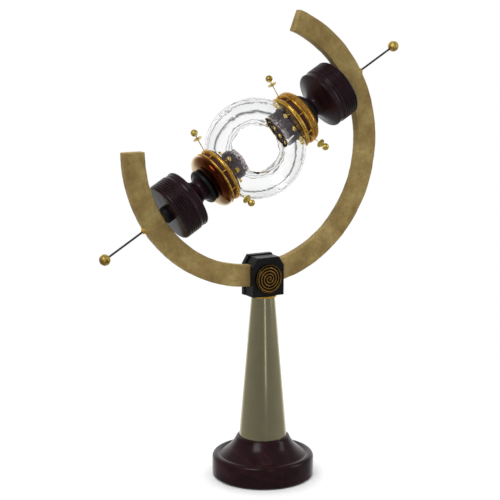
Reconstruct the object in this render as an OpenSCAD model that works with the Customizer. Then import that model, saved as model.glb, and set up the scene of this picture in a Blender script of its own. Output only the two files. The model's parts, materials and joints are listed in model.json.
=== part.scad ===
// Desk astrolabe: a C-shaped arc in a clamp block on a cone stand.
// The arc slides in the block, the head turns on the column, and the
// glass globe with its two knobs spins on an inclined polar axis.
// Origin: centre of the underside. +Z up, arc in the XZ plane, front to -Y.

/* [Stand] */
// Radius of the turned base
base_r = 55.2; // [50:0.1:65]
// Height of the base's straight drum
base_drum_h = 20.5; // [16:0.5:23]
// Height of the whole base
base_h = 44.5; // [40:0.5:50]
// Radius of the column at its foot
column_r1 = 26; // [22:0.1:28]
// Radius of the column at its top
column_r2 = 12.6; // [12:0.1:14]
// Height of the column's top
column_top = 199; // [190:0.5:210]
// Thickness of the column's wall
column_wall = 1.8; // [1:0.1:2.2]
// Radius of the tie rod
tie_r = 3; // [2.5:0.1:3]

/* [Clamp block] */
// Width of the block
block_w = 37.6; // [36:0.1:42]
// Depth of the block, front to back
block_d = 23.2; // [20:0.1:28]
// Height of the block
block_h = 41.9; // [41:0.1:46]
// Width of each top chamfer
chamfer_w = 5.8; // [3:0.1:7]
// Height of each top chamfer
chamfer_h = 9.5; // [5:0.1:10]
// Radius of the medallion
medal_r = 15.8; // [12:0.1:17]

/* [Arc] */
// Outer radius of the arc
arc_ro = 150; // [148:0.5:152]
// Inner radius of the arc
arc_ri = 126.2; // [125:0.1:128]
// Thickness of the arc, front to back
arc_t = 10.65; // [10:0.05:12]
// Angle of the arc's upper end
arc_end_hi = 69; // [60:1:75]
// Angle of the arc's left end
arc_end_lo = 179.8; // [170:0.2:190]
// Height of the arc's centre
arc_z = 361.5; // [361:0.5:363]
// Distance of the arc's centre to the left of the column
arc_x = -11.6; // [-13:0.1:-10]

/* [Polar axis] */
// Tilt of the axis above the horizontal
axis_tilt = 30.9; // [28:0.1:36]
// Drop of the axis below the arc's centre
axis_drop = 3.8; // [0:0.1:4]
// Distance of each rod ball from the globe's centre
rod_ball_s = 200.5; // [180:0.5:210]
// Radius of each rod ball
rod_ball_r = 6.1; // [5:0.1:8]
// Radius of each rod
rod_r = 1.1; // [1:0.05:1.3]
// Radius of each spindle
spindle_r = 2.5; // [2:0.1:2.5]
// Largest radius of the knobs
knob_r = 32; // [28:0.1:32.5]
// Number of grooves around each knob
knob_grooves = 5; // [3:1:5]

/* [Globe] */
// Outer radius of the glass
globe_r = 53.4; // [52:0.1:54]
// Radius of the round cavity in the glass
cavity_r = 24.2; // [24.2:0.1:26]
// Radius of the white ball held between the sockets
core_r = 24; // [23:0.1:24]
// Number of small balls around each socket
berries = 8; // [6:1:8]
// Radius of each small ball
berry_r = 2.6; // [2:0.1:2.7]
// Radius of each socket
socket_r = 12; // [11:0.1:12.4]
// Number of long pins on each gallery ring
pins = 3; // [2:1:4]
// Distance of each pin's ball from the axis
pin_reach = 53.4; // [45:0.1:55]
// Radius of each pin's ball
pin_ball_r = 3.9; // [3:0.1:4.2]

/* [Hidden] */
$fn = 72;

LOWER = -1;
UPPER = 1;
fit = 0.02;         // gap of pieces fixed in each other
run = 0.03;         // radial clearance of a running fit
rest_gap = 0.05;    // gap between faces that slide on each other

// stand
felt_t = 1;
column_foot = base_h - 1.5;
recess_r = 12;
recess_top = 10;
washer_t = 1.6;
nut_t = 5;
cap_flange_t = 1.6;
swivel_t = 0.4;
swivel_top = column_top + cap_flange_t + swivel_t;

// block and arc
block_z = swivel_top + rest_gap;
plate_top = swivel_top + 4.2;
spring_t = 1;
swivel_nut_t = 4.2;
rod_foot = felt_t + 1.5;      // lower end of the tie rod
rod_head = plate_top + spring_t + swivel_nut_t + 0.5;
nut_r = 5.8;
nut_pocket_r = 6.6;
spigot_h = 12;                // depth of the column cap's spigot
slot_gap = 0.3;
pad_t = 0.45;
slot_half = arc_t / 2 + run + pad_t;
screw_r = 1.5;
top_screw_r = 1.25;
screw_head_t = 1.6;
seam = slot_half;     // plane where the two halves of the block meet
rear_lip = 0.9;       // how far the rear half stands out at the sides
rear_rise = 1.3;      // how far the rear half stands up
screw_tip = -7.5;             // front end of the screws
bore_tip = screw_tip - 0.5;
head_at = block_d / 2 - screw_head_t - 0.2;
low_screws = [13.5, block_z + 5.4];
top_screws = [6.5, block_z + block_h - 2.6];
medal_z = 220;
medal_t = 3.4;
medal_dome = 0.9;
medal_rings = 5;
medal_spigot_r = 2;
medal_spigot_h = 3.6;

// stations along the polar axis, measured from the globe's centre
glass_end = 44.4;
plate_lo = 46;
plate_hi = 50;
pin_s = 51;
cap_seat = 57;
cap_floor = 60;
bead_lo = 67.6;
neck_lo = 74.2;
waist_s = 79;
face_s = 91.1;
knob_end = 119;
spacer_end = 124.4;
thrust_t = 1;
bush_lo = spacer_end + thrust_t + rest_gap;
spot_s = arc_ro - 0.4;
bush_hi = spot_s + 2.7;
spindle_end = 144;
rod_lo = 134;
socket_end = 18.4;            // the white ball has a flat here for each socket
berry_s = 31.8;
berry_ring = 15.2;

waist_r = 11.7;
flare = (knob_r - 0.9 - waist_r) / pow(face_s - waist_s, 2);
bush_r = 3.5;
bush_flange_r = 4.4;
spacer_r = 9;
cap_spigot_r = 24;
cap_rim_r = 30.4;
plate_bore = 10;
well_r = berry_ring + berry_r + 0.6;
gasket_r = 27.6;
flange_r = well_r - 0.2;     // flange of each socket, inside the glass's well
flange_t = 0.8;
saucer_reach = pin_reach - 7.4;
pin_r = 0.5;
pin_bore = pin_r + fit;
pin_root = 25.8;
stem_r = 0.6;
stem_depth = 1.2;

axis_at = [arc_x + axis_drop * sin(axis_tilt), 0,
    arc_z - axis_drop * cos(axis_tilt)];

// points of a round stretch of an outline
function bend(c, r, from, to, n = 8) = [for (i = [0:n])
    let (a = from + (to - from) * i / n) c + r * [cos(a), sin(a)]];

// radius of a knob's neck and trumpet face at station s
function neck_r(s) = waist_r + flare * pow(s - waist_s, 2);

// a plate in the XZ plane between two Y values
module plate(y0, y1) {
    translate([0, y1, 0]) rotate([90, 0, 0]) linear_extrude(y1 - y0) children();
}

// a pin or bore along Y
module along_y(at, r, y0, y1) {
    translate([at[0], y1, at[1]]) rotate([90, 0, 0]) cylinder(h = y1 - y0, r = r);
}

// stands a piece on the polar axis, local Z outwards from the globe's centre
module on_axis(side) {
    translate(axis_at) rotate([0, side * 90 - axis_tilt, 0]) children();
}

module ring(r_out, r_in, z0, z1) {
    translate([0, 0, z0]) difference() {
        cylinder(h = z1 - z0, r = r_out);
        translate([0, 0, -1]) cylinder(h = z1 - z0 + 2, r = r_in);
    }
}

module hex_nut(r_out, r_in, z0, z1) {
    translate([0, 0, z0]) difference() {
        cylinder(h = z1 - z0, r = r_out, $fn = 6);
        translate([0, 0, -1]) cylinder(h = z1 - z0 + 2, r = r_in);
    }
}

// ---- stand ----

module base_felt() {
    color("#241d1c") cylinder(h = felt_t, r = base_r - 3);
}

// turned base: drum, rounded shoulder, small valley and coved cone
module base() {
    shoulder = 4.5;
    cone_foot = [46, 24.4];
    cone_top = [28.2, base_h];
    cove = [for (i = [0:8]) let (t = i / 8)
        [cone_foot[0] + (cone_top[0] - cone_foot[0]) * t - 2 * sin(180 * t),
         cone_foot[1] + (cone_top[1] - cone_foot[1]) * t - 1 * sin(180 * t)]];
    outline = concat([[tie_r + 0.2, recess_top], [recess_r, recess_top],
        [recess_r, felt_t], [base_r - 0.6, felt_t], [base_r, felt_t + 0.6]],
        bend([base_r - shoulder, base_drum_h], shoulder, 0, 90),
        [[cone_foot[0] + 2.6, base_drum_h + shoulder - 0.2], cone_foot + [0.8, -0.4]],
        cove,
        [[column_r1 + 0.2, base_h], [column_r1 + 0.2, column_foot],
         [tie_r + 0.2, column_foot]]);
    color("#2e1b20") rotate_extrude() polygon(outline);
}

module tie_washer() {
    color("silver") ring(9, tie_r + fit, recess_top - washer_t, recess_top);
}

module tie_nut() {
    color("silver")
        hex_nut(nut_r, tie_r + fit, recess_top - washer_t - nut_t, recess_top - washer_t);
}

module tie_rod() {
    color("gray") translate([0, 0, rod_foot])
        cylinder(h = rod_head - rod_foot, r = tie_r);
}

module column() {
    color("#6b6652") translate([0, 0, column_foot]) difference() {
        cylinder(h = column_top - column_foot, r1 = column_r1, r2 = column_r2);
        translate([0, 0, -0.01]) cylinder(h = column_top - column_foot + 0.02,
            r1 = column_r1 - column_wall, r2 = column_r2 - column_wall);
    }
}

module column_cap() {
    spigot = column_r2 - column_wall - 0.1;
    color("#a98a45") difference() {
        union() {
            translate([0, 0, column_top]) cylinder(h = cap_flange_t, r = column_r2 + 1.8);
            translate([0, 0, column_top - spigot_h]) cylinder(h = spigot_h, r = spigot);
        }
        translate([0, 0, column_top - spigot_h - 1])
            cylinder(h = spigot_h + cap_flange_t + 2, r = tie_r + fit);
    }
}

module swivel_washer() {
    color("black") ring(11, tie_r + 0.1, swivel_top - swivel_t, swivel_top);
}

module spring_washer() {
    color("gray") ring(5.4, tie_r + fit, plate_top + rest_gap, plate_top + spring_t);
}

module swivel_nut() {
    color("silver")
        hex_nut(nut_r, tie_r + fit, plate_top + spring_t, plate_top + spring_t + swivel_nut_t);
}

// ---- clamp block ----

module block_outline(lip, rise) {
    w = block_w / 2 + lip;
    top = block_z + block_h + rise;
    polygon([[-w, block_z], [w, block_z], [w, top - chamfer_h],
        [w - chamfer_w, top], [chamfer_w - w, top], [-w, top - chamfer_h]]);
}

module arc_band(gap) {
    translate([arc_x, arc_z]) difference() {
        circle(r = arc_ro + gap, $fn = 180);
        circle(r = arc_ri - gap, $fn = 180);
    }
}

// one half of the block, between two Y values, around the arc and the nut
module block_half(y0, y1, lip = 0, rise = 0) {
    difference() {
        plate(y0, y1) block_outline(lip, rise);
        plate(-slot_half, slot_half) arc_band(slot_gap);
        translate([0, 0, block_z - 1]) cylinder(h = 10, r = tie_r + run);
        translate([0, 0, plate_top]) cylinder(h = 12, r = nut_pocket_r);
        children();
    }
}

module screw_bores(y0, y1, extra) {
    for (side = [-1, 1]) {
        along_y([side * low_screws[0], low_screws[1]], screw_r + extra, y0, y1);
        along_y([side * top_screws[0], top_screws[1]], top_screw_r + extra, y0, y1);
    }
}

module block_front() {
    color("#17181a") block_half(-block_d / 2, seam) {
        screw_bores(bore_tip, seam + 1, fit);
        along_y([0, medal_z], medal_spigot_r + fit, -block_d / 2 - 1,
            -block_d / 2 + medal_spigot_h + 0.4);
    }
}

module block_rear() {
    color("#17181a") block_half(seam, block_d / 2, rear_lip, rear_rise) {
        screw_bores(seam - 1, block_d / 2 + 1, fit);
        screw_bores(head_at, block_d / 2 + 1, 1.4);
    }
}

module clamp_screws() {
    color("#3a3a3c") {
        screw_bores(screw_tip, head_at + 0.5, 0);
        screw_bores(head_at, head_at + screw_head_t, 1.2);
    }
}

module pad(y0) {
    plate(y0, y0 + pad_t) intersection() {
        arc_band(-1.5);
        translate([-block_w / 2 + 2, block_z]) square([block_w - 4, block_h]);
    }
}

module pad_front() {
    color("#3b2a20") pad(-slot_half);
}

module pad_rear() {
    color("#3b2a20") pad(slot_half - pad_t);
}

// round medallion with raised rings, on a short spigot
module medallion() {
    steps = 8 * medal_rings;
    pitch = (medal_r - 0.8) / medal_rings;
    face = [for (i = [0:steps]) let (r = (medal_r - 0.8) * i / steps)
        [r, medal_t - 0.5 - medal_dome * pow(r / medal_r, 2) + 0.5 * cos(360 * r / pitch)]];
    color("#8a6a2c") translate([0, -block_d / 2, medal_z]) rotate([90, 0, 0]) {
        rotate_extrude() polygon(concat([[0, 0]], face,
            [[medal_r, medal_t - medal_dome - 0.4], [medal_r, 0]]));
        translate([0, 0, -medal_spigot_h])
            cylinder(h = medal_spigot_h + 0.1, r = medal_spigot_r);
    }
}

// ---- arc ----

module arc() {
    far = 3 * arc_ro;
    mid = (arc_end_hi + arc_end_lo) / 2;
    color("#93804f") difference() {
        plate(-arc_t / 2, arc_t / 2) difference() {
            arc_band(0);
            translate([arc_x, arc_z]) polygon([[0, 0],
                far * [cos(arc_end_hi), sin(arc_end_hi)],
                far * [cos(mid), sin(mid)],
                far * [cos(arc_end_lo), sin(arc_end_lo)]]);
        }
        for (side = [LOWER, UPPER]) on_axis(side) {
            translate([0, 0, arc_ri - 10])
                cylinder(h = arc_ro - arc_ri + 20, r = bush_r + fit);
            translate([0, 0, spot_s]) cylinder(h = 5, r = bush_flange_r + 0.3);
        }
    }
}

// flanged bush: wide bore for the spindle, narrow bore for the rod
module bush(side) {
    nose_r = bush_r - 0.9;
    outline = [[0, bush_lo], [bush_r, bush_lo], [bush_r, spot_s],
        [bush_flange_r, spot_s], [bush_flange_r, spot_s + 0.9], [nose_r, spot_s + 1.2],
        [nose_r, bush_hi - 0.4], [nose_r - 0.4, bush_hi], [0, bush_hi]];
    color("#b8923f") on_axis(side) difference() {
        rotate_extrude() polygon(outline);
        translate([0, 0, bush_lo - 1])
            cylinder(h = spindle_end + 0.5 - bush_lo + 1, r = spindle_r + run);
        cylinder(h = bush_hi + 1, r = rod_r + run);
    }
}

// ---- polar axis ----

module rod(side) {
    color("#4a4a4e") on_axis(side) translate([0, 0, rod_lo])
        cylinder(h = rod_ball_s - 2.5 - rod_lo, r = rod_r);
}

module rod_ball(side) {
    color("#b08a36") on_axis(side) difference() {
        translate([0, 0, rod_ball_s]) sphere(r = rod_ball_r);
        translate([0, 0, rod_ball_s - rod_ball_r - 1])
            cylinder(h = rod_ball_r - 1, r = rod_r + fit);
    }
}

module spindle(side) {
    color("#7a7a80") on_axis(side) difference() {
        translate([0, 0, cap_floor - 5.5])
            cylinder(h = spindle_end - cap_floor + 5.5, r = spindle_r);
        translate([0, 0, rod_lo - 0.5])
            cylinder(h = spindle_end - rod_lo + 1, r = rod_r + fit);
    }
}

module thrust_washer(side) {
    color("#5a3a28") on_axis(side)
        ring(7, spindle_r + fit, spacer_end, spacer_end + thrust_t);
}

module spacer(side) {
    color("#1b1718") on_axis(side) ring(spacer_r, spindle_r + fit, knob_end, spacer_end);
}

// turned knob: waisted neck, trumpet face, rounded rim and grooved drum
module knob(side) {
    steps = 14;
    valley_s = 98;
    groove_from = valley_s + 2.5;
    groove_pitch = (knob_end - 3.2 - groove_from) / knob_grooves;
    neck = [for (i = [0:steps]) let (s = neck_lo + (face_s - neck_lo) * i / steps)
        [neck_r(s), s]];
    outline = concat([[spindle_r + fit, neck_lo]], neck,
        bend([knob_r - 2, face_s + 1.6], 1.7, -45, 45, 3),
        [[knob_r - 0.7, valley_s - 1.5], [knob_r - 1.5, valley_s],
         [knob_r - 0.6, valley_s + 1.2], [knob_r, valley_s + 2.2]],
        bend([knob_r - 3, knob_end - 3], 3, 0, 90, 5),
        [[spindle_r + fit, knob_end]]);
    color("#33202a") on_axis(side) rotate_extrude() difference() {
        polygon(outline);
        for (i = [0:knob_grooves - 1])
            translate([knob_r + 0.2, groove_from + groove_pitch * (i + 0.5)])
                circle(r = 1, $fn = 24);
    }
}

module bead(side) {
    half = (neck_lo - bead_lo) / 2;
    outline = concat([[spindle_r + fit, bead_lo]],
        bend([19 - half, bead_lo + half], half, -90, 90, 10),
        [[spindle_r + fit, neck_lo]]);
    color("#131214") on_axis(side) rotate_extrude() polygon(outline);
}

// hollow bowl that rounds over from the gallery to the bead, with a spigot
module cap(side) {
    steps = 12;
    cavity = 19;
    face_r = 17.8;
    belly_s = 59.6;
    bowl = [for (i = [0:steps]) let (a = 90 * i / steps)
        [face_r + (cap_rim_r - face_r) * cos(a), belly_s + (bead_lo - belly_s) * sin(a)]];
    outline = concat([[spindle_r + fit, cap_floor], [cavity, cap_floor], [cavity, plate_hi],
        [cap_spigot_r, plate_hi], [cap_spigot_r, cap_seat], [cap_rim_r - 0.8, cap_seat],
        [cap_rim_r - 0.2, cap_seat + 0.6]], bowl, [[spindle_r + fit, bead_lo]]);
    color("#8d6433") on_axis(side) rotate_extrude() polygon(outline);
}

module cap_nut(side) {
    color("silver") on_axis(side)
        hex_nut(4.6, spindle_r + fit, cap_floor - 4, cap_floor);
}

// ridged ring with the holes of the pins and of the small balls' stems
module gallery(side) {
    flange = [28.4, 48.2];
    flange_edge = 2;
    groove_r = 27.4;
    edge = [29.4, 55.8];
    edge_r = 1;
    outline = concat([[plate_bore, plate_lo], [flange[0], plate_lo]],
        bend(flange, flange_edge, -80, 80, 8),
        [[groove_r, flange[1] + flange_edge + 0.2], [groove_r, edge[1] - edge_r - 0.2]],
        bend(edge, edge_r, -80, 80, 6),
        [[edge[0] - 0.6, cap_seat], [cap_spigot_r + fit, cap_seat],
         [cap_spigot_r + fit, plate_hi], [plate_bore, plate_hi]]);
    color("#b98a2e") on_axis(side) difference() {
        rotate_extrude() polygon(outline);
        for (i = [1:pins]) pin_place(side, i)
            translate([0, 0, pin_root - 0.3]) cylinder(h = 10, r = pin_bore);
        stem_bores(plate_lo - 1, plate_lo + stem_depth + 0.3);
    }
}

module gasket(side) {
    color("#3a2f28") on_axis(side) ring(gasket_r, well_r + 0.4, glass_end, plate_lo);
}

// bores for the stems of the small balls, between two stations
module stem_bores(s0, s1) {
    for (i = [1:berries]) rotate(360 / berries * i)
        translate([berry_ring, 0, s0]) cylinder(h = s1 - s0, r = stem_r + fit);
}

// socket: tube with a flange and a spigot, against a flat of the white ball
module socket(side) {
    bore = plate_bore - 1.5;
    foot = socket_end + fit;
    bevel = 0.3;
    color("#453c46") on_axis(side) difference() {
        rotate_extrude() polygon([[bore, plate_hi], [plate_bore - fit, plate_hi],
            [plate_bore - fit, plate_lo], [flange_r, plate_lo], [flange_r, plate_lo - flange_t],
            [socket_r, plate_lo - flange_t], [socket_r, foot + bevel],
            [socket_r - bevel, foot], [bore, foot]]);
        stem_bores(plate_lo - flange_t - 1, plate_lo + 1);
    }
}

// white ball with a flat for each socket's end
module core_ball() {
    color("#f2f2f0") on_axis(UPPER) rotate_extrude() difference() {
        circle(r = core_r);
        translate([-2 * core_r, -core_r]) square(2 * core_r);
        for (turn = [0, 180]) rotate(turn)
            translate([-core_r, socket_end]) square([2 * core_r, core_r]);
    }
}

module berries(side) {
    color("#c79c3c") on_axis(side) for (i = [1:berries]) rotate(360 / berries * i)
        translate([berry_ring, 0, 0]) {
            translate([0, 0, berry_s]) sphere(r = berry_r, $fn = 36);
            translate([0, 0, berry_s]) cylinder(h = plate_lo + stem_depth - berry_s, r = stem_r);
        }
}

// the place of one pin, local Z outwards from the polar axis
module pin_place(side, i) {
    rotate(360 / pins * i + (side > 0 ? 180 / pins : 0))
        translate([0, 0, pin_s]) rotate([0, 90, 0]) children();
}

module pin_wires(side) {
    color("#b8923f") on_axis(side) for (i = [1:pins]) pin_place(side, i)
        translate([0, 0, pin_root]) cylinder(h = pin_reach - 2 - pin_root, r = pin_r);
}

module pin_saucers(side) {
    dish = 4.8;
    color("#b8923f") on_axis(side) for (i = [1:pins]) pin_place(side, i)
        translate([0, 0, saucer_reach]) rotate_extrude()
            polygon([[pin_bore, -1.2], [dish * 0.6, -0.8], [dish, -0.2], [dish, 0.2],
                [dish * 0.6, 0.8], [pin_bore, 1.2]]);
}

module pin_balls(side) {
    color("#c79c3c") on_axis(side) for (i = [1:pins]) pin_place(side, i)
        difference() {
            translate([0, 0, pin_reach]) sphere(r = pin_ball_r, $fn = 36);
            translate([0, 0, pin_reach - pin_ball_r - 1])
                cylinder(h = pin_ball_r - 0.8, r = pin_bore);
        }
}

// thick clear ball: round cavity, a bore for each socket with a wider well
// for its small balls, and a flat at both poles
module glass_globe() {
    bore_r = socket_r + 0.1;
    well_s = berry_s - berry_r - 0.6;
    color("#dfe6e8", 0.35) on_axis(UPPER) rotate_extrude() difference() {
        circle(r = globe_r);
        circle(r = cavity_r);
        translate([-2 * globe_r, -globe_r]) square([2 * globe_r + bore_r, 2 * globe_r]);
        for (turn = [0, 180]) rotate(turn) {
            translate([-well_r, well_s]) square([2 * well_r, globe_r]);
            translate([-globe_r, glass_end]) square([2 * globe_r, globe_r]);
        }
    }
}

base_felt();
base();
tie_washer();
tie_nut();
tie_rod();
column();
column_cap();
swivel_washer();
spring_washer();
swivel_nut();
block_front();
block_rear();
clamp_screws();
pad_front();
pad_rear();
medallion();
arc();
bush(LOWER);  // bush_lower
bush(UPPER);  // bush_upper
rod(LOWER);  // rod_lower
rod(UPPER);  // rod_upper
rod_ball(LOWER);  // rod_ball_lower
rod_ball(UPPER);  // rod_ball_upper
spindle(LOWER);  // spindle_lower
spindle(UPPER);  // spindle_upper
thrust_washer(LOWER);  // thrust_washer_lower
thrust_washer(UPPER);  // thrust_washer_upper
spacer(LOWER);  // spacer_lower
spacer(UPPER);  // spacer_upper
knob(LOWER);  // knob_lower
knob(UPPER);  // knob_upper
bead(LOWER);  // bead_lower
bead(UPPER);  // bead_upper
cap(LOWER);  // cap_lower
cap(UPPER);  // cap_upper
cap_nut(LOWER);  // cap_nut_lower
cap_nut(UPPER);  // cap_nut_upper
gallery(LOWER);  // gallery_lower
gallery(UPPER);  // gallery_upper
gasket(LOWER);  // gasket_lower
gasket(UPPER);  // gasket_upper
socket(LOWER);  // socket_lower
socket(UPPER);  // socket_upper
core_ball();
berries(LOWER);  // berries_lower
berries(UPPER);  // berries_upper
pin_wires(LOWER);  // pin_wires_lower
pin_wires(UPPER);  // pin_wires_upper
pin_saucers(LOWER);  // pin_saucers_lower
pin_saucers(UPPER);  // pin_saucers_upper
pin_balls(LOWER);  // pin_balls_lower
pin_balls(UPPER);  // pin_balls_upper
glass_globe();
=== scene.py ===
"""Desk astrolabe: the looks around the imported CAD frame. Places are in metres, outlines in millimetres."""
import json
import math

import bmesh
import bpy
from mathutils import Matrix, Vector, noise


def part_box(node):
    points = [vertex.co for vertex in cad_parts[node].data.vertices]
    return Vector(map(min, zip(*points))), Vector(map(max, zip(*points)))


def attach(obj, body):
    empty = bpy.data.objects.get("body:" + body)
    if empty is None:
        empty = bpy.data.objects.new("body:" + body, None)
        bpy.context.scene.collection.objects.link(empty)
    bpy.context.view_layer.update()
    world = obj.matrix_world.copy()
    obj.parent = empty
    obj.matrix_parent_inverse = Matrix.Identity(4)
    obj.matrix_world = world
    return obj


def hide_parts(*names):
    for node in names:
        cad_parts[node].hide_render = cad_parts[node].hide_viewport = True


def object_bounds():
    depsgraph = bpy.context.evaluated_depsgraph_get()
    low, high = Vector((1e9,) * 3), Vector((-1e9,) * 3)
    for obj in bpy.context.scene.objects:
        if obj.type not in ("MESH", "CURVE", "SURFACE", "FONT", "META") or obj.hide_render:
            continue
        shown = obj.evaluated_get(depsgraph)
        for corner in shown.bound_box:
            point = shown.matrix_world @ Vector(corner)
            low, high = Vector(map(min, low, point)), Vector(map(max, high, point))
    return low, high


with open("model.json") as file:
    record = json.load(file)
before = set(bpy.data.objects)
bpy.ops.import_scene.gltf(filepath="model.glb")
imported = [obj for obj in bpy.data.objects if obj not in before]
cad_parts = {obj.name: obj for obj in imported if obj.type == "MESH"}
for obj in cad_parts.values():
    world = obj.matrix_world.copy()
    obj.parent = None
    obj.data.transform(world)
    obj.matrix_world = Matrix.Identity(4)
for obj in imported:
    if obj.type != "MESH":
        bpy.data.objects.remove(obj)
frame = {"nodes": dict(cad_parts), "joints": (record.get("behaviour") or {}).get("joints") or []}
cad_box = [list(corner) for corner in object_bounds()]
joints = {j["name"]: j for j in frame["joints"]}
MM = 0.001
LOWER, UPPER = -1, 1
CAMERA_TURN = math.radians(28.654)
SIDES = {"lower": LOWER, "upper": UPPER}
AXIS_AT = Vector(joints["polar_spin"]["pos_m"])
AXIS_DIR = Vector(joints["polar_spin"]["axis"]).normalized()
ARC_AT = Vector(joints["arc_tilt"]["pos_m"])
SPINDLE_BORE = 2.52   # radius in millimetres of the bore that each piece on a spindle has
ROD_BORE = 1.13       # radius of the bushes' bore for the rods
TIE_BORE = 3.2        # radius of the base's bore for the tie rod
SOCKET_R = 12.0       # radius of the sockets' tubes


# ---------------------------------------------------------------- places

def polar(side):
    """The frame of one side of the polar axis: local Z points outwards from the globe's centre."""
    z = AXIS_DIR * side
    y = Vector((0, 1, 0))
    x = y.cross(z)
    m = Matrix((x, y, z)).transposed().to_4x4()
    m.translation = AXIS_AT
    return m


def span(node, side):
    """(first station, last station, largest radius) of a CAD node along the polar axis, in millimetres."""
    inv = polar(side).inverted()
    local = [inv @ v.co for v in frame["nodes"][node].data.vertices]
    z = [p.z / MM for p in local]
    return min(z), max(z), max(math.hypot(p.x, p.y) for p in local) / MM


def upright(node):
    """(lowest, highest, largest radius) of a CAD node about the column's axis, in millimetres."""
    low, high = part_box(node)
    return low.z / MM, high.z / MM, high.x / MM


# ---------------------------------------------------------------- meshes

def finish_mesh(bm, name, matrix, body, nodes, material, sharp=35):
    """Makes bm a visual piece that rides on a body and stands for the CAD nodes it is given."""
    bmesh.ops.recalc_face_normals(bm, faces=bm.faces[:])
    mesh = bpy.data.meshes.new(name)
    bm.to_mesh(mesh)
    bm.free()
    mesh.shade_smooth()
    mesh.set_sharp_from_angle(angle=math.radians(sharp))
    piece = bpy.data.objects.new(name, mesh)
    bpy.context.scene.collection.objects.link(piece)
    piece.matrix_world = matrix
    mesh.materials.append(material)
    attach(piece, body)
    if nodes:
        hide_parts(*nodes)
    return piece


def fillet(points, radius, steps=4):
    """Rounds the corners of an outline, leaving its two ends."""
    out = [points[0]]
    for before, at, after in zip(points, points[1:], points[2:]):
        a, p, b = Vector(before), Vector(at), Vector(after)
        da, db = a - p, b - p
        if da.length < 1e-6 or db.length < 1e-6:
            continue
        turn = da.angle(db)
        if turn > math.radians(174):
            out.append(tuple(p))
            continue
        reach = min(radius / math.tan(turn / 2), 0.45 * da.length, 0.45 * db.length)
        start, end = p + da.normalized() * reach, p + db.normalized() * reach
        for i in range(steps + 1):
            t = i / steps
            out.append(tuple(start * (1 - t) ** 2 + p * 2 * t * (1 - t) + end * t * t))
    out.append(points[-1])
    return out


def bend(centre, radius, start, end, steps=10):
    """Points of a round stretch of an outline."""
    return [(centre[0] + radius * math.cos(math.radians(start + (end - start) * i / steps)),
             centre[1] + radius * math.sin(math.radians(start + (end - start) * i / steps)))
            for i in range(steps + 1)]


def lathe_into(bm, profile, steps, matrix=Matrix.Identity(4), closed=True, wobble=None):
    """Turns a (radius, height) outline in millimetres about local Z into bm."""
    rings = []
    for r, z in profile:
        if r < 1e-4:
            rings.append([bm.verts.new(matrix @ Vector((0, 0, z * MM)))])
            continue
        ring = []
        for k in range(steps):
            a = 2 * math.pi * k / steps
            dr = wobble(a, r, z) if wobble else 0
            ring.append(bm.verts.new(matrix @ Vector(
                ((r + dr) * MM * math.cos(a), (r + dr) * MM * math.sin(a), z * MM))))
        rings.append(ring)
    pairs = list(zip(rings, rings[1:]))
    if closed:
        pairs.append((rings[-1], rings[0]))
    for one, two in pairs:
        if len(one) == 1 and len(two) == 1:
            continue
        for k in range(steps):
            j = (k + 1) % steps
            quad = [one[k % len(one)], one[j % len(one)], two[j % len(two)], two[k % len(two)]]
            corners = list(dict.fromkeys(quad))
            if len(corners) > 2:
                bm.faces.new(corners)


def lathe(name, profile, matrix, body, nodes, material, steps=144, wobble=None, sharp=35):
    """Makes one visual piece by turning an outline about local Z."""
    bm = bmesh.new()
    lathe_into(bm, profile, steps, wobble=wobble)
    return finish_mesh(bm, name, matrix, body, nodes, material, sharp)


def ball_into(bm, radius, matrix, dents=0.0, scale=1.0, level=4):
    """A ball of the given radius in millimetres whose skin is pitted inwards by up to dents."""
    made = bmesh.ops.create_icosphere(bm, subdivisions=level, radius=radius * MM)["verts"]
    for v in made:
        if dents:
            n = v.co.normalized()
            pit = 0.5 + 0.5 * noise.noise(n * scale + matrix.translation * 97)
            fine = 0.5 + 0.5 * noise.noise(n * scale * 2.3 + Vector((5, 1, 3)))
            v.co -= n * dents * MM * (0.65 * pit + 0.35 * fine)
        v.co = matrix @ v.co


# ---------------------------------------------------------------- materials

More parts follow.
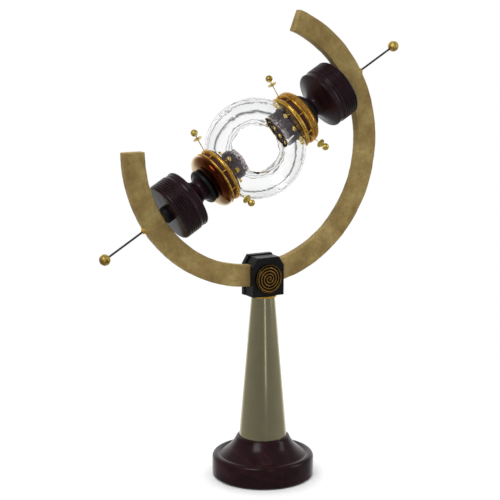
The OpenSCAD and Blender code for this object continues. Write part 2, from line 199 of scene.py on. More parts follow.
class Paint:
    """A node material being built around one Principled shader."""

    def __init__(self, name, **constants):
        self.material = bpy.data.materials.new(name)
        self.material.use_nodes = True
        self.tree = self.material.node_tree
        self.tree.nodes.clear()
        self.out = self.tree.nodes.new("ShaderNodeOutputMaterial")
        self.shader = self.add("BsdfPrincipled", **constants)
        self.tree.links.new(self.shader.outputs[0], self.out.inputs[0])
        self.place = self.add("TexCoord").outputs["Object"]

    def add(self, kind, **inputs):
        """A new node with the given inputs set or connected."""
        node = self.tree.nodes.new("ShaderNode" + kind)
        for key, value in inputs.items():
            self.put(node.inputs[key.replace("_", " ")], value)
        return node

    def put(self, socket, value):
        """Connects an output to a socket, or sets the socket's value."""
        if isinstance(value, bpy.types.NodeSocket):
            self.tree.links.new(value, socket)
        else:
            socket.default_value = value

    def stretch(self, x, y, z):
        """Object coordinates scaled per axis, so that a noise turns into streaks."""
        node = self.add("Mapping", Vector=self.place)
        node.inputs["Scale"].default_value = (x, y, z)
        return node.outputs[0]

    def noise(self, size, detail=4, rough=0.55, where=None):
        """Noise whose blotches are about size metres across."""
        node = self.add("TexNoise", Vector=where or self.place, Scale=1 / size,
                        Detail=detail, Roughness=rough)
        return node.outputs["Fac"]

    def ramp(self, value, *stops):
        """Colours or greys along a value, given as (position, colour) stops."""
        node = self.add("ValToRGB", Fac=value)
        ramp = node.color_ramp
        while len(ramp.elements) < len(stops):
            ramp.elements.new(0.5)
        for element, (at, colour) in zip(ramp.elements, stops):
            element.position = at
            grey = isinstance(colour, (int, float))
            element.color = (colour,) * 3 + (1,) if grey else tuple(colour) + (1,)
        return node.outputs["Color"]

    def mix(self, factor, one, two):
        """Blend of two colours or values by a factor."""
        node = self.tree.nodes.new("ShaderNodeMix")
        node.data_type = "RGBA"
        self.put(node.inputs["Factor"], factor)
        for key, value in (("A", one), ("B", two)):
            socket = next(s for s in node.inputs if s.name == key and s.type == "RGBA")
            self.put(socket, tuple(value) + (1,) if isinstance(value, (tuple, list)) else value)
        return next(s for s in node.outputs if s.type == "RGBA")

    def math(self, how, one, two=0.0):
        """One arithmetic step."""
        node = self.tree.nodes.new("ShaderNodeMath")
        node.operation = how
        self.put(node.inputs[0], one)
        self.put(node.inputs[1], two)
        return node.outputs[0]

    def bump(self, height, depth, strength):
        """Normals bent by a height that spans depth metres."""
        return self.add("Bump", Height=height, Strength=strength, Distance=depth).outputs[0]

    def set(self, **inputs):
        """Sets or connects the shader's inputs and gives the finished material."""
        for key, value in inputs.items():
            if isinstance(value, tuple) and len(value) == 3:
                value = value + (1,)
            self.put(self.shader.inputs[key.replace("_", " ")], value)
        return self.material


def rgb(r, g, b):
    """An sRGB colour from 0 to 255 as linear numbers."""
    return tuple(((c / 255 + 0.055) / 1.055) ** 2.4 if c > 10 else c / 255 / 12.92 for c in (r, g, b))


def patina():
    """Matt, mottled ochre brass with specks and soft blotches."""
    p = Paint("arc_patina", Metallic=0.25, IOR=1.45, Specular_IOR_Level=0.3)
    broad = p.noise(0.022, 5, 0.6)
    fine = p.noise(0.0035, 6, 0.68)
    specks = p.noise(0.0012, 2, 0.5)
    stains = p.noise(0.009, 4, 0.6)
    base = p.ramp(broad, (0.32, rgb(146, 122, 74)), (0.5, rgb(174, 149, 92)), (0.70, rgb(196, 174, 114)))
    mottled = p.mix(p.ramp(fine, (0.42, 0.0), (0.72, 0.5)), base, rgb(132, 106, 58))
    stained = p.mix(p.ramp(stains, (0.60, 0.0), (0.74, 0.45)), mottled, rgb(186, 140, 96))
    spotted = p.mix(p.ramp(specks, (0.66, 0.0), (0.74, 0.8)), stained, rgb(80, 62, 38))
    height = p.mix(0.35, fine, specks)
    return p.set(Base_Color=spotted, Roughness=p.ramp(fine, (0.3, 0.68), (0.7, 0.5)),
                 Normal=p.bump(height, 0.0006, 0.5))


def lacquered_wood():
    """Dark burgundy lacquer over turned wood."""
    p = Paint("lacquered_wood", IOR=1.5, Specular_IOR_Level=0.22)
    grain = p.noise(0.010, 5, 0.6, p.stretch(1, 0.16, 1))
    turned = p.noise(0.0012, 2, 0.5, p.stretch(0.04, 0.04, 1))
    colour = p.ramp(grain, (0.35, rgb(26, 9, 13)), (0.6, rgb(38, 15, 21)), (0.75, rgb(50, 22, 28)))
    return p.set(Base_Color=colour, Roughness=p.ramp(grain, (0.3, 0.16), (0.7, 0.28)),
                 Normal=p.bump(turned, 0.0002, 0.25))


def knob_lacquer():
    """Dark burgundy, half-gloss lacquer with turning lines."""
    p = Paint("knob_lacquer", IOR=1.5, Specular_IOR_Level=0.3)
    grain = p.noise(0.006, 5, 0.6, p.stretch(0.2, 1, 1))
    turned = p.noise(0.0009, 2, 0.5, p.stretch(0.05, 0.05, 1))
    colour = p.ramp(grain, (0.35, rgb(24, 9, 14)), (0.65, rgb(42, 18, 26)))
    return p.set(Base_Color=colour, Roughness=p.ramp(grain, (0.3, 0.24), (0.7, 0.38)),
                 Normal=p.bump(turned, 0.0003, 0.35))


def column_metal():
    """Olive-grey satin metal with faint turning lines."""
    p = Paint("column_metal", Metallic=1.0)
    lines = p.noise(0.0006, 3, 0.55, p.stretch(0.05, 0.05, 1))
    cloud = p.noise(0.02, 4, 0.6)
    colour = p.mix(p.ramp(cloud, (0.35, 0.0), (0.7, 0.5)), rgb(200, 192, 154), rgb(186, 177, 140))
    return p.set(Base_Color=colour, Roughness=p.ramp(lines, (0.3, 0.16), (0.7, 0.24)),
                 Normal=p.bump(lines, 0.00002, 0.1))


def black_enamel():
    """Satin black enamel, slightly uneven."""
    p = Paint("black_enamel", IOR=1.5, Specular_IOR_Level=0.3)
    skin = p.noise(0.0010, 3, 0.6)
    cloud = p.noise(0.008, 4, 0.6)
    colour = p.ramp(cloud, (0.35, rgb(9, 9, 10)), (0.7, rgb(20, 19, 22)))
    return p.set(Base_Color=colour, Roughness=p.ramp(cloud, (0.3, 0.32), (0.7, 0.5)),
                 Normal=p.bump(skin, 0.0002, 0.3))


def gold(name, light, dark, rough=0.22, dents=0.0):
    """Gilt metal with darker blotches."""
    p = Paint(name, Metallic=0.85)
    cloud = p.noise(0.006, 4, 0.6)
    fine = p.noise(0.0012, 3, 0.6)
    colour = p.ramp(cloud, (0.36, dark), (0.62, light))
    return p.set(Base_Color=colour, Roughness=p.ramp(fine, (0.3, rough), (0.75, rough + 0.16)),
                 Normal=p.bump(fine, 0.0002 + dents, 0.25 + 0.3 * (dents > 0)))


def bronze():
    """Polished brown metal whose colour paints its reflections: dark face on and tan towards its edges."""
    p = Paint("bronze", Metallic=1.0)
    cloud = p.noise(0.008, 4, 0.6)
    fine = p.noise(0.0012, 3, 0.6)
    # Painted reflection: by the facing weight the colour runs from dark face on to tan at grazing angles,
    # with a little random tone from the cloud.
    facing = p.add("LayerWeight", Blend=0.5).outputs["Facing"]
    where = p.math("ADD", facing, p.math("MULTIPLY", cloud, 0.25))
    colour = p.ramp(where, (0.30, rgb(92, 40, 20)), (0.55, rgb(150, 92, 46)), (0.85, rgb(226, 196, 150)))
    return p.set(Base_Color=colour, Roughness=p.ramp(fine, (0.3, 0.10), (0.75, 0.2)),
                 Normal=p.bump(fine, 0.0001, 0.2))


def antique_gold():
    """Gilding rubbed bright on the ridges, with near-black hollows."""
    p = Paint("antique_gold", Metallic=0.9)
    relief = p.add("Attribute")
    relief.attribute_name = "relief"
    fine = p.noise(0.0009, 3, 0.6)
    rubbed = p.math("ADD", relief.outputs["Fac"], p.math("MULTIPLY", fine, 0.25))
    colour = p.ramp(rubbed, (0.45, rgb(14, 10, 6)), (0.80, rgb(76, 54, 22)), (1.0, rgb(164, 126, 64)))
    return p.set(Base_Color=colour, Roughness=p.ramp(rubbed, (0.3, 0.65), (0.9, 0.32)),
                 Normal=p.bump(fine, 0.0002, 0.4))


def steel(name, tone, rough):
    """Drawn steel, streaked along its length."""
    p = Paint(name, Metallic=1.0)
    drawn = p.noise(0.0010, 3, 0.6, p.stretch(1, 1, 0.03))
    colour = p.ramp(drawn, (0.3, tuple(c * 0.75 for c in tone)), (0.7, tone))
    return p.set(Base_Color=colour, Roughness=p.ramp(drawn, (0.3, rough), (0.7, rough + 0.15)),
                 Normal=p.bump(drawn, 0.0001, 0.3))


def dull(name, tone, size, rough=0.85, depth=0.0003):
    """Felt, fibre, cork and the like."""
    p = Paint(name)
    grain = p.noise(size, 5, 0.65)
    colour = p.ramp(grain, (0.35, tuple(c * 0.6 for c in tone)), (0.65, tone))
    return p.set(Base_Color=colour, Roughness=rough, Normal=p.bump(grain, depth, 0.6))


def socket_metal():
    """Dark purple-grey metal with bright specks towards its end."""
    p = Paint("socket_metal", Metallic=0.5)
    specks = p.noise(0.0012, 3, 0.6)
    split = p.add("SeparateXYZ", Vector=p.place)
    near_end = p.math("MULTIPLY", p.math("SUBTRACT", 0.031, split.outputs["Z"]), 40)
    where = p.math("ADD", specks, near_end)
    colour = p.ramp(where, (0.62, rgb(66, 54, 60)), (0.84, rgb(84, 72, 76)), (0.93, rgb(190, 180, 182)))
    return p.set(Base_Color=colour, Roughness=p.ramp(specks, (0.3, 0.38), (0.7, 0.55)),
                 Normal=p.bump(specks, 0.0004, 0.4))


def opal():
    """White milky glass with a faint painted glow: it emits light though it is no lamp."""
    # Painted glow: the white emission lights the ball up by itself.
    p = Paint("opal", IOR=1.45, Specular_IOR_Level=0.2, Emission_Strength=1.1)
    cloud = p.noise(0.006, 3, 0.5)
    p.shader.inputs["Emission Color"].default_value = (1, 1, 1, 1)
    return p.set(Base_Color=p.ramp(cloud, (0.3, rgb(226, 226, 224)), (0.7, rgb(246, 246, 244))),
                 Roughness=p.ramp(cloud, (0.3, 0.18), (0.7, 0.30)), Normal=p.bump(cloud, 0.0001, 0.2))


def clear_glass():
    """Clear glass with a faint waviness."""
    p = Paint("clear_glass", Roughness=0.0, IOR=1.47)
    p.shader.inputs["Transmission Weight"].default_value = 1.0
    ripple = p.noise(0.012, 2, 0.5)
    return p.set(Base_Color=(0.985, 0.99, 0.99), Normal=p.bump(ripple, 0.0003, 0.2))


PAINT = {
    "arc_brass": patina(),
    "lacquered_wood": lacquered_wood(),
    "knob_wood": knob_lacquer(),
    "column_metal": column_metal(),
    "black_block": black_enamel(),
    "gilt_brass": gold("gilt_brass", rgb(255, 212, 104), rgb(206, 146, 50)),
    # Colour with painted reflections by the facing angle, used on the lower cap.
    "bronze": bronze(),
    "gilt_bead": gold("gilt_bead", rgb(250, 226, 128), rgb(188, 152, 66), rough=0.14, dents=0.0003),
    "gilt_bowl": gold("gilt_bowl", rgb(232, 176, 80), rgb(176, 120, 42), rough=0.2),
    "oxblood": dull("oxblood", rgb(72, 30, 16), 0.0020, 0.5),
    "textured_gilt": gold("textured_gilt", rgb(244, 214, 116), rgb(150, 112, 46), rough=0.2, dents=0.0004),
    "antique_gold": antique_gold(),
    "dark_steel": steel("dark_steel", rgb(108, 108, 116), 0.30),
    "zinc_steel": steel("zinc_steel", rgb(178, 178, 176), 0.34),
    "black_gloss": black_enamel(),
    "felt": dull("felt", rgb(40, 34, 34), 0.0008),
    "fibre": dull("fibre", rgb(52, 38, 30), 0.0012, 0.7),
    "cork": dull("cork", rgb(62, 50, 42), 0.0015, 0.8),
    "socket_dark": socket_metal(),
    # White glass with a painted glow, used on the core ball.
    "opal": opal(),
    "clear_glass": clear_glass(),
}


# ---------------------------------------------------------------- stand

def turned_base():
    """Drum with a round shoulder, a small valley and a coved cone up to the column."""
    low, high, r = upright("base")
    foot, _, column_r = upright("column")
    shoulder = 4.5
    drum_top = low + 24.0
    cone_foot, cone_top = (r - 9.2, drum_top - 0.6), (column_r + 2.2, high)
    steps = 24
    cove = []
    for i in range(steps + 1):
        t = i / steps
        sag = math.sin(math.pi * t)
        cove.append((cone_foot[0] + (cone_top[0] - cone_foot[0]) * t - 2.0 * sag,
                     cone_foot[1] + (cone_top[1] - cone_foot[1]) * t - 1.0 * sag))
    outline = [(TIE_BORE, low), (r - 0.8, low), (r, low + 0.8)]
    outline += bend((r - shoulder, drum_top - shoulder), shoulder, 0, 88, 14)
    outline += [(r - 6.6, drum_top - 0.2), (r - 8.4, drum_top - 1.0)]
    outline += cove[:-1] + [(cone_top[0] - 0.3, high - 0.4), (cone_top[0] - 1.0, high)]
    outline += [(column_r + 0.2, high), (column_r + 0.2, foot), (TIE_BORE, foot)]
    lathe("turned_base", outline, Matrix.Identity(4), "stand", ["base"],
          PAINT["lacquered_wood"], steps=192)


def turned_column():
    """Tapered tube."""
    low, high, r = upright("column")
    top_r = max(math.hypot(v.co.x, v.co.y) for v in frame["nodes"]["column"].data.vertices
                if v.co.z / MM > high - 1) / MM
    wall = 1.8
    outline = fillet([(r - wall, low), (r, low), (top_r, high), (top_r - wall, high)], 0.5)
    lathe("turned_column", outline, Matrix.Identity(4), "stand", ["column"],
          PAINT["column_metal"], steps=192)


def cap_flange():
    """Plug in the column's top, with the flange that shows as a thin gilt strip."""
    low, high, r = upright("column_cap")
    bore, plug_r, flange = 3.02, 10.6, high - 1.6
    outline = fillet([(bore, low), (plug_r, low), (plug_r, flange), (r, flange), (r, high),
                      (bore, high)], 0.35)
    lathe("cap_flange", outline, Matrix.Identity(4), "stand", ["column_cap"],
          PAINT["gilt_brass"], steps=96)


# ---------------------------------------------------------------- head

def spiral_medallion():
    """A disc with a raised spiral rope, on the block's front face."""
    low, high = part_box("medallion")
    front = low.y
    back = -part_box("block_rear")[1].y
    thick = (back - front) / MM
    r_max = (high.x - low.x) / 2 / MM
    turns, around, across = 4.6, 240, 90
    rim, bottom, bulge, rope_h = 1.1, thick - 2.3, 1.0, 1.2
    bm = bmesh.new()
    relief = bm.verts.layers.float.new("relief")
    pitch = (r_max - rim) / turns
    rings = []
    for j in range(across + 1):
        r = (r_max - 0.25) * j / across
        ring = []
        for k in range(around if j else 1):
            a = 2 * math.pi * k / around
            phase = (r / pitch - a / (2 * math.pi)) % 1.0
            rope = max(0.0, 1 - ((phase - 0.5) / 0.34) ** 2) ** 0.5
            if r > r_max - rim - 0.2:
                t = (r - (r_max - rim - 0.2)) / (rim - 0.05)
                rope = max(rope * (1 - 2 * t), math.sin(math.pi * min(1, t)) ** 0.5 * 0.9)
            worn = noise.noise(Vector((r * 0.35 * math.cos(a), r * 0.35 * math.sin(a), 4)))
            dome = bulge * (1 - (r / r_max) ** 2)
            height = bottom + dome + rope_h * rope * (0.93 + 0.07 * worn)
            v = bm.verts.new((r * MM * math.cos(a), r * MM * math.sin(a), height * MM))
            v[relief] = 0.15 + 0.75 * rope + 0.1 * worn
            ring.append(v)
        rings.append(ring)
    edge = []
    for r, h in ((r_max, thick - 2.5), (r_max, 0)):
        edge.append([bm.verts.new((r * MM * math.cos(2 * math.pi * k / around),
                                   r * MM * math.sin(2 * math.pi * k / around), h * MM))
                     for k in range(around)])
    rings += edge + [[bm.verts.new((0, 0, 0))]]
    for one, two in zip(rings, rings[1:]):
        for k in range(around):
            j = (k + 1) % around
            corners = list(dict.fromkeys([one[k % len(one)], one[j % len(one)],
                                          two[j % len(two)], two[k % len(two)]]))
            bm.faces.new(corners)
    place = Matrix.Translation((0, back, (low.z + high.z) / 2)) @ Matrix.Rotation(math.pi / 2, 4, "X")
    finish_mesh(bm, "spiral_medallion", place, "head", ["medallion"],
                PAINT["antique_gold"], sharp=60)


# ---------------------------------------------------------------- arc

def arc_band():
    """The arc, swept with rounded, slightly uneven edges."""
    local = [v.co - ARC_AT for v in frame["nodes"]["arc"].data.vertices]
    reach = [math.hypot(p.x, p.z) for p in local]
    r_out, r_in = max(reach), min(reach)
    half = max(p.y for p in local)
    left = [p for p in local if p.x < 0 and abs(p.z) < 0.004 and p.z > -0.002]
    start = math.radians(-180) - max(math.atan2(p.z, -p.x) for p in left)
    end = max(math.atan2(p.z, p.x) for p in local if p.x > 0 and p.z > 0)
    mid, half_wide = (r_out + r_in) / 2, (r_out - r_in) / 2
    corner, face, steps = 0.0011, 6, 420
    broad_wave, fine_wave, edge_wave = 0.00022, 0.00012, 0.00018
    section = []
    for cx, cy, a0 in ((r_out - corner, half - corner, 0), (r_in + corner, half - corner, 90),
                       (r_in + corner, corner - half, 180), (r_out - corner, corner - half, 270)):
        for i in range(5):
            a = math.radians(a0 + 90 * i / 4)
            section.append((cx + corner * math.cos(a), cy + corner * math.sin(a)))
    dense = []
    for one, two in zip(section, section[1:] + section[:1]):
        dense.append(one)
        if math.dist(one, two) > 0.004:
            dense += [tuple(a + (b - a) * i / face for a, b in zip(one, two)) for i in range(1, face)]
    bm = bmesh.new()
    rings = []
    for k in range(-1, steps + 2):
        t = min(1, max(0, k / steps))
        angle = start + (end - start) * t
        end_cap = k < 0 or k > steps
        inset = 0.0007 if end_cap else 0.0
        if not end_cap:
            angle += (0.0006 / r_out) * ((k == 0) - (k == steps))
        ring = []
        for r, y in dense:
            where = Vector((math.cos(angle) * r, y, math.sin(angle) * r))
            uneven = broad_wave * (noise.noise(where * 60) - 0.6)
            uneven += fine_wave * (noise.noise(where * 240) - 0.6)
            if abs(r - mid) > half_wide - 0.002:
                uneven += edge_wave * (noise.noise(where * 110 + Vector((3, 7, 1))) - 0.6)
            toward = -1 if r > mid else 1
            r2 = r + toward * (abs(min(uneven, 0)) + inset)
            y2 = y * (1 - (abs(min(uneven, 0)) + inset) / half)
            ring.append(bm.verts.new((math.cos(angle) * r2, y2, math.sin(angle) * r2)))
        rings.append(ring)
    n = len(dense)
    for one, two in zip(rings, rings[1:]):
        for k in range(n):
            bm.faces.new([one[k], one[(k + 1) % n], two[(k + 1) % n], two[k]])
    bm.faces.new(rings[0])
    bm.faces.new(rings[-1])
    finish_mesh(bm, "arc_band", Matrix.Translation(ARC_AT), "arc_frame", ["arc"],
                PAINT["arc_brass"], sharp=50)


# ---------------------------------------------------------------- polar axis

def bush(label, side):
    """Flanged bush at a pole of the arc, with a narrow nose."""
    node = f"bush_{label}"
    low, high, r = span(node, side)
    flange, body_r, nose_r = high - 2.7, r - 0.9, r - 1.8
    outline = fillet([(ROD_BORE, low), (body_r, low), (body_r, flange), (r, flange), (r, flange + 0.9),
                      (nose_r, flange + 1.3), (nose_r, high), (ROD_BORE, high)], 0.3)
    lathe(f"pole_{node}", outline, polar(side), "arc_frame", [node],
          PAINT["gilt_brass"], steps=64)


def rod(label, side):
    """Thin rod with a pitted ball on its end."""
    low, high, r = span(f"rod_{label}", side)
    outline = fillet([(0, low), (r, low), (r, high), (0, high)], 0.2)
    lathe(f"steel_rod_{label}", outline, polar(side), "globe_axis", [f"rod_{label}"],
          PAINT["dark_steel"], steps=24)
    node = f"rod_ball_{label}"
    low, high, r = span(node, side)
    bm = bmesh.new()
    at = polar(side) @ Matrix.Translation((0, 0, (low + high) / 2 * MM))
    ball_into(bm, r, at, dents=0.55, scale=3.2, level=5)
    finish_mesh(bm, f"pitted_{node}", Matrix(), "globe_axis", [node],
                PAINT["textured_gilt"], sharp=180)


def spacer(label, side):
    """Black hub between the knob and the arc."""
    node = f"spacer_{label}"
    low, high, r = span(node, side)
    outline = fillet([(SPINDLE_BORE, low), (r, low), (r, high), (SPINDLE_BORE, high)], 0.8)
    lathe(f"turned_{node}", outline, polar(side), "globe_axis", [node],
          PAINT["black_gloss"], steps=96)


def knob(label, side):
    """Waisted neck, trumpet face, rounded rim and a drum with fine turned grooves."""
    node = f"knob_{label}"
    low, high, r = span(node, side)
    waist_s, waist_r, face_s = low + 4.8, 11.7, low + 16.9
    flare = (r - 0.9 - waist_r) / (face_s - waist_s) ** 2
    steps = 40
    outline = [(SPINDLE_BORE, low)]
    for i in range(steps + 1):
        s = low + (face_s - low) * i / steps
        outline.append((waist_r + flare * (s - waist_s) ** 2, s))
    outline += bend((r - 2.0, face_s + 1.6), 1.75, -40, 50, 8)
    outline += [(r - 0.7, face_s + 5.0), (r - 1.4, face_s + 6.6)]
    outline += [(r - 1.1, face_s + 7.4), (r - 0.3, face_s + 8.4)]
    grooves, first, last = 6, face_s + 9.4, high - 3.0
    pitch = (last - first) / grooves
    crest, slope, valley = r - 0.05, r - 0.30, r - 0.95
    for g in range(grooves):
        s = first + pitch * g
        outline += [(crest, s), (crest, s + 0.42 * pitch), (slope, s + 0.52 * pitch)]
        outline += [(valley, s + 0.66 * pitch), (valley, s + 0.78 * pitch), (slope, s + 0.92 * pitch)]
    corner = 3.0
    outline += bend((r - corner, high - corner), corner, 0, 90, 10)
    outline += [(SPINDLE_BORE, high)]
    lathe(f"turned_{node}", fillet(outline, 0.25, 2), polar(side), "globe_axis", [node],
          PAINT["knob_wood"], steps=180)


def bead(label, side):
    """Black disc with a round edge."""
    node = f"bead_{label}"
    low, high, r = span(node, side)
    half = (high - low) / 2
    outline = [(SPINDLE_BORE, low)] + bend((r - half, low + half), half - 0.02, -90, 90, 24)
    outline += [(SPINDLE_BORE, high)]
    lathe(f"turned_{node}", outline, polar(side), "globe_axis", [node],
          PAINT["black_gloss"], steps=128)


def cap(label, side):
    """Polished bowl that rounds over from the gallery to the bead."""
    node = f"cap_{label}"
    low, high, r = span(node, side)
    floor_s, seat, belly = low + 10, low + 7, high - 8
    cavity_r, spigot_r, face_r, steps = 19, 24, 17.8, 36
    outline = [(SPINDLE_BORE, high), (SPINDLE_BORE, floor_s), (cavity_r, floor_s), (cavity_r, low)]
    outline += [(spigot_r, low), (spigot_r, seat), (r - 0.8, seat), (r - 0.2, seat + 0.6)]
    for i in range(steps + 1):
        a = math.pi / 2 * i / steps
        outline.append((face_r + (r - face_r) * math.cos(a), belly + (high - belly) * math.sin(a)))
    # On the lower side the bowl's colour is a painted reflection: dark face on and tan at its edges.
    lathe(f"turned_{node}", outline, polar(side), "globe_axis", [node],
          PAINT["gilt_bowl"] if side > 0 else PAINT["bronze"], steps=180)


def gallery(label, side):
    """Gilt ring: a ribbed flange, a dark groove with small posts, and a thin edge."""
    node = f"gallery_{label}"
    low, high, _ = span(node, side)
    flange, edge, groove = (28.4, low + 2.2), (29.4, high - 1.2), 27.4
    bore, plate_top, seat_r = 10, low + 4, 24.02
    outline = [(bore, plate_top), (bore, low), (flange[0], low)] + bend(flange, 2.0, -80, 80, 20)
    outline += [(groove, flange[1] + 2.2), (groove, edge[1] - 1.2)]
    outline += bend(edge, 1.0, -80, 80, 14)
    outline += [(edge[0] - 0.6, high), (seat_r, high), (seat_r, plate_top)]
    lathe(f"ridged_{node}", fillet(outline, 0.2, 2), polar(side), "globe_axis", [node],
          PAINT["gilt_brass"], steps=180)
    band, posts = bmesh.new(), bmesh.new()
    start, stop = flange[1] + 2.1, edge[1] - 1.1
    inner, outer = groove - 0.5, groove + 0.15
    lathe_into(band, [(inner, start), (outer, start), (outer, stop), (inner, stop)], 144)
    finish_mesh(band, f"groove_{node}", polar(side), "globe_axis", [], PAINT["oxblood"])
    count, foot_r, waist_r = 8, 0.9, 0.5
    post = fillet([(0, start - 0.1), (foot_r, start - 0.1), (waist_r, (start + stop) / 2),
                   (foot_r, stop + 0.1), (0, stop + 0.1)], 0.6)
    for k in range(count):
        turn = Matrix.Rotation(2 * math.pi * (k + 0.5) / count, 4, "Z")
        lathe_into(posts, post, 14, turn @ Matrix.Translation(((groove + 0.75) * MM, 0, 0)), closed=False)
    finish_mesh(posts, f"posts_{node}", polar(side), "globe_axis", [],
                PAINT["gilt_brass"], sharp=50)


def socket(label, side):
    """Dark speckled tube with a broad thin flange near its outer end."""
    node = f"socket_{label}"
    low, high, r = span(node, side)
    bore, spigot_r, flange_top, flange_foot = 8.5, 9.98, high - 4, high - 4.8
    outline = fillet([(bore, high), (spigot_r, high), (spigot_r, flange_top), (r, flange_top),
                      (r, flange_foot), (SOCKET_R, flange_foot), (SOCKET_R, low + 0.3),
                      (SOCKET_R - 0.3, low), (bore, low)], 0.2)
    lathe(f"speckled_{node}", outline, polar(side), "globe_axis", [node],
          PAINT["socket_dark"], steps=128)


def core_ball():
    """White ball at the centre of the globe, flat where the sockets meet it."""
    flat = span("socket_upper", UPPER)[0] - 0.02
    r = max(((polar(UPPER).inverted() @ v.co) / MM).length
            for v in frame["nodes"]["core_ball"].data.vertices)
    turn, steps = math.asin(flat / r), 64
    outline = [(r * math.cos(a), r * math.sin(a))
               for a in (turn * (2 * i / steps - 1) for i in range(steps + 1))]
    # The ball's material paints a white glow into it.
    lathe("white_core", [(0, -flat)] + outline + [(0, flat)], polar(UPPER), "globe_axis", ["core_ball"],
          PAINT["opal"], steps=128)


def berries(label, side):
    """Small gold balls on stems around the socket."""
    node = f"berries_{label}"
    low, high, r = span(node, side)
    ball, stem_r, count = 2.6, 0.6, 8
    stem = [(0, ball / 2), (stem_r, ball / 2), (stem_r, high - low - ball), (0, high - low - ball)]
    bm = bmesh.new()
    for k in range(count):
        turn = Matrix.Rotation(2 * math.pi * k / count, 4, "Z")
        at = turn @ Matrix.Translation(((r - ball) * MM, 0, (low + ball) * MM))
        ball_into(bm, ball, at, dents=0.22, scale=2.6, level=4)
        lathe_into(bm, stem, 12, at)
    finish_mesh(bm, f"gold_{node}", polar(side), "globe_axis", [node],
                PAINT["gilt_bead"], sharp=60)


def long_pins(label, side):
    """Brass wires that carry a saucer and a ball."""
    ball, wire_r, root, count = 3.9, 0.5, 27.4, 3
    wires, saucers, balls = bmesh.new(), bmesh.new(), bmesh.new()
    station = sum(span(f"pin_wires_{label}", side)[:2]) / 2
    centre = span(f"pin_balls_{label}", side)[2] - ball
    wire = fillet([(0, root), (wire_r, root), (wire_r, centre - 2), (0, centre - 2)], 0.1)
    dish = [(0.52, -1.2), (1.6, -1.1), (3.2, -0.6), (4.5, -0.1), (4.8, 0.15), (4.7, 0.45),
            (3.4, 0.5), (2.2, 0.7), (1.4, 1.2), (0.52, 1.2)]
    saucer = [(r, centre - 7.4 + h) for r, h in dish]
    for k in range(count):
        turn = 2 * math.pi * k / count + (math.pi / count if side > 0 else 0)
        place = (Matrix.Rotation(turn, 4, "Z") @ Matrix.Translation((0, 0, station * MM))
                 @ Matrix.Rotation(math.pi / 2, 4, "Y"))
        lathe_into(wires, wire, 16, place)
        lathe_into(saucers, saucer, 40, place)
        ball_into(balls, ball, place @ Matrix.Translation((0, 0, centre * MM)), dents=0.25, scale=2.4)
    for bm, part in ((wires, "wires"), (saucers, "saucers"), (balls, "balls")):
        finish_mesh(bm, f"gilt_pin_{part}_{label}", polar(side), "globe_axis", [f"pin_{part}_{label}"],
                    PAINT["gilt_bead"], sharp=60)


def glass_globe():
    """Thick clear ball with a round cavity, cut flat at the poles, that touches the sockets' tubes."""
    high = span("glass_globe", UPPER)[1]
    points = [(polar(UPPER).inverted() @ v.co) / MM for v in frame["nodes"]["glass_globe"].data.vertices]
    r_out = max(p.length for p in points)
    r_in = min(p.length for p in points)
    bore = SOCKET_R - 0.05
    broad_wave, fine_wave, inner_wave = 0.22, 0.13, 0.12
    outer_turn, steps = math.asin(high / r_out), 120
    outer = [(r_out * math.cos(a), r_out * math.sin(a))
             for a in (outer_turn * (2 * i / steps - 1) for i in range(steps + 1))]
    mouth = math.sqrt(r_in ** 2 - bore ** 2)
    cavity_turn = math.asin(mouth / r_in)
    inner = [(r_in * math.cos(a), r_in * math.sin(a))
             for a in (cavity_turn * (1 - 2 * i / steps) for i in range(steps + 1))]

    def ripple(a, r, z):
        """Change of radius in millimetres: inwards on the outer skin, either way on the cavity's."""
        distance = math.hypot(r, z)
        where = Vector((math.cos(a) * r, math.sin(a) * r, z))
        if distance > r_out - 1:
            fade = max(0.0, 1 - (abs(z) / high) ** 6)
            return -fade * (broad_wave * (1 + noise.noise(where * 0.07))
                            + fine_wave * (1 + noise.noise(where * 0.26)))
        if abs(distance - r_in) < 0.5:
            return inner_wave * noise.noise(where * 0.14 + Vector((9, 2, 5)))
        return 0.0

    outline = outer + [(bore, high)] + inner + [(bore, -high)]
    lathe("thick_globe", outline, polar(UPPER), "globe_axis",
          ["glass_globe"], PAINT["clear_glass"], steps=256, wobble=ripple, sharp=50)


def soften(node, width, finish):
    """Keeps a CAD node and gives it bevelled edges and a finish."""
    piece = frame["nodes"][node]
    piece.data.shade_smooth()
    piece.data.set_sharp_from_angle(angle=math.radians(32))
    if width:
        bevel = piece.modifiers.new("edges", "BEVEL")
        bevel.width = width
        bevel.segments = 3
        bevel.limit_method = "ANGLE"
        bevel.angle_limit = math.radians(40)
    piece.data.materials.clear()
    piece.data.materials.append(PAINT[finish])


# ---------------------------------------------------------------- build

turned_base()
turned_column()
cap_flange()
spiral_medallion()
arc_band()
for label, side in SIDES.items():
    bush(label, side)
    rod(label, side)
    spacer(label, side)
    knob(label, side)
    bead(label, side)
    cap(label, side)
    gallery(label, side)
    socket(label, side)
    berries(label, side)
    long_pins(label, side)
core_ball()
glass_globe()

soften("base_felt", 0.0003, "felt")
soften("block_front", 0.0006, "black_block")
soften("block_rear", 0.0006, "black_block")
soften("clamp_screws", 0.0002, "dark_steel")
for node in ("tie_washer", "tie_nut", "tie_rod", "spring_washer", "swivel_nut"):
    soften(node, 0.0, "zinc_steel")
for node in ("swivel_washer", "pad_front", "pad_rear"):
    soften(node, 0.0, "fibre")
for label in SIDES:
    soften(f"spindle_{label}", 0.0, "zinc_steel")
    soften(f"cap_nut_{label}", 0.0, "zinc_steel")
    soften(f"thrust_washer_{label}", 0.0, "fibre")
    soften(f"gasket_{label}", 0.0, "cork")


# ---------------------------------------------------------------- stage

def soft_light(name, place, target, size, power):
    """A rectangular lamp that the camera doesn't see."""
    lamp = bpy.data.lights.new(name, "AREA")
    lamp.shape = "RECTANGLE"
    lamp.size, lamp.size_y = size
    lamp.energy = power
    holder = bpy.data.objects.new(name, lamp)
    bpy.context.scene.collection.objects.link(holder)
    holder.location = place
    holder.rotation_euler = (Vector(target) - Vector(place)).to_track_quat("-Z", "Y").to_euler()
    holder.visible_camera = False


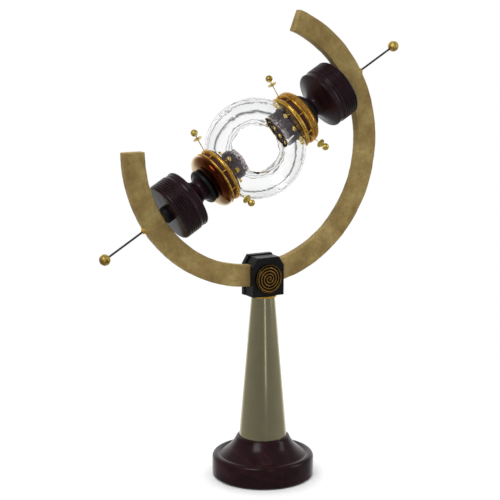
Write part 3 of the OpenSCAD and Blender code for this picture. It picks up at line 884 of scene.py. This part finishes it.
def floor():
    """A round pale floor under the object."""
    bm = bmesh.new()
    bmesh.ops.create_circle(bm, cap_ends=True, segments=96, radius=0.6)
    mesh = bpy.data.meshes.new("floor")
    bm.to_mesh(mesh)
    bm.free()
    ground = bpy.data.objects.new("floor", mesh)
    bpy.context.scene.collection.objects.link(ground)
    ground.location.z = cad_box[0][2]
    p = Paint("floor_paint")
    cloud = p.noise(0.4, 3, 0.5)
    pale = p.ramp(cloud, (0.3, rgb(250, 250, 250)), (0.7, rgb(253, 253, 253)))
    mesh.materials.append(p.set(Base_Color=pale, Roughness=0.9))
    ground.visible_transmission = False
    ground.visible_glossy = False


def studio():
    """White for the camera, a dim tent for reflections, light and dark bands for the glass, and lamps."""
    world = bpy.data.worlds.new("studio")
    world.use_nodes = True
    tree = world.node_tree
    tree.nodes.clear()

    def add(kind, **settings):
        """A new node of the world with its settings."""
        node = tree.nodes.new("ShaderNode" + kind)
        for key, value in settings.items():
            setattr(node, key, value)
        return node

    def link(*pairs):
        """Connects each output to the input it is paired with."""
        for one, two in pairs:
            tree.links.new(one, two)

    def around(stops):
        """Brightness by the angle from straight behind the object, from 0 (camera's side) to 1."""
        node = add("ValToRGB")
        ramp = node.color_ramp
        while len(ramp.elements) < len(stops):
            ramp.elements.new(0.5)
        for element, (at, grey) in zip(ramp.elements, stops):
            element.position = at
            element.color = (grey, grey, grey, 1)
        link((spread.outputs["Result"], node.inputs["Fac"]))
        shader = add("Background")
        link((node.outputs["Color"], shader.inputs["Color"]))
        return shader

    place = add("TexCoord")
    ahead = add("VectorMath", operation="DOT_PRODUCT")
    ahead.inputs[1].default_value = (math.sin(CAMERA_TURN), math.cos(CAMERA_TURN), 0)
    spread = add("MapRange")
    spread.inputs["From Min"].default_value = -1
    link((place.outputs["Generated"], ahead.inputs[0]), (ahead.outputs["Value"], spread.inputs["Value"]))
    tent = around(((0.0, 0.20), (0.45, 0.26), (0.80, 0.34), (0.94, 1.0)))
    glassy = around(((0.0, 0.85), (0.25, 0.80), (0.42, 0.18), (0.50, 0.66), (0.61, 0.76), (0.655, 0.35),
                     (0.680, 0.90), (0.745, 0.92), (0.767, 0.12), (0.785, 0.92), (0.874, 0.95),
                     (0.890, 0.06), (0.907, 0.95), (0.935, 1.0)))
    plain = add("Background")
    plain.inputs["Color"].default_value = (1, 1, 1, 1)
    seen = add("LightPath")
    through = add("MixShader")
    both = add("MixShader")
    out = add("OutputWorld")
    link((seen.outputs["Is Transmission Ray"], through.inputs[0]), (tent.outputs[0], through.inputs[1]),
         (glassy.outputs[0], through.inputs[2]), (seen.outputs["Is Camera Ray"], both.inputs[0]),
         (through.outputs[0], both.inputs[1]), (plain.outputs[0], both.inputs[2]),
         (both.outputs[0], out.inputs["Surface"]))
    scene = bpy.context.scene
    scene.world = world
    scene.view_settings.view_transform = "Standard"
    scene.cycles.use_denoising = True
    scene.cycles.max_bounces = 20
    scene.cycles.transmission_bounces = 16
    middle = (0, 0, 0.28)
    soft_light("key", (-1.5, -1.0, 1.7), middle, (0.9, 0.9), 12)
    soft_light("fill", (1.5, -1.0, 0.9), middle, (0.5, 1.2), 4)
    soft_light("strip", (-0.39, -1.93, 0.5), middle, (0.22, 1.4), 1.0)
    sky = bpy.data.lights.new("sky", "SUN")
    sky.energy = 2.6
    sky.angle = math.radians(120)
    above = bpy.data.objects.new("sky", sky)
    scene.collection.objects.link(above)
    above.rotation_euler = (math.radians(-12), 0, 0)
    above.visible_transmission = False
    above.visible_glossy = False


def camera():
    """The main view: left of the front and a little above."""
    lens = bpy.data.cameras.new("view")
    lens.sensor_width = 36
    lens.lens = 97.93
    holder = bpy.data.objects.new("view", lens)
    bpy.context.scene.collection.objects.link(holder)
    azimuth, elevation, distance = CAMERA_TURN, math.radians(10.638), 1.44966
    target = Vector((-0.01229, 0.006715, 0.249168))
    away = Vector((-math.sin(azimuth) * math.cos(elevation), -math.cos(azimuth) * math.cos(elevation),
                   math.sin(elevation)))
    holder.location = target + away * distance
    holder.rotation_euler = (-away).to_track_quat("-Z", "Y").to_euler()
    bpy.context.scene.camera = holder


floor()
studio()
camera()
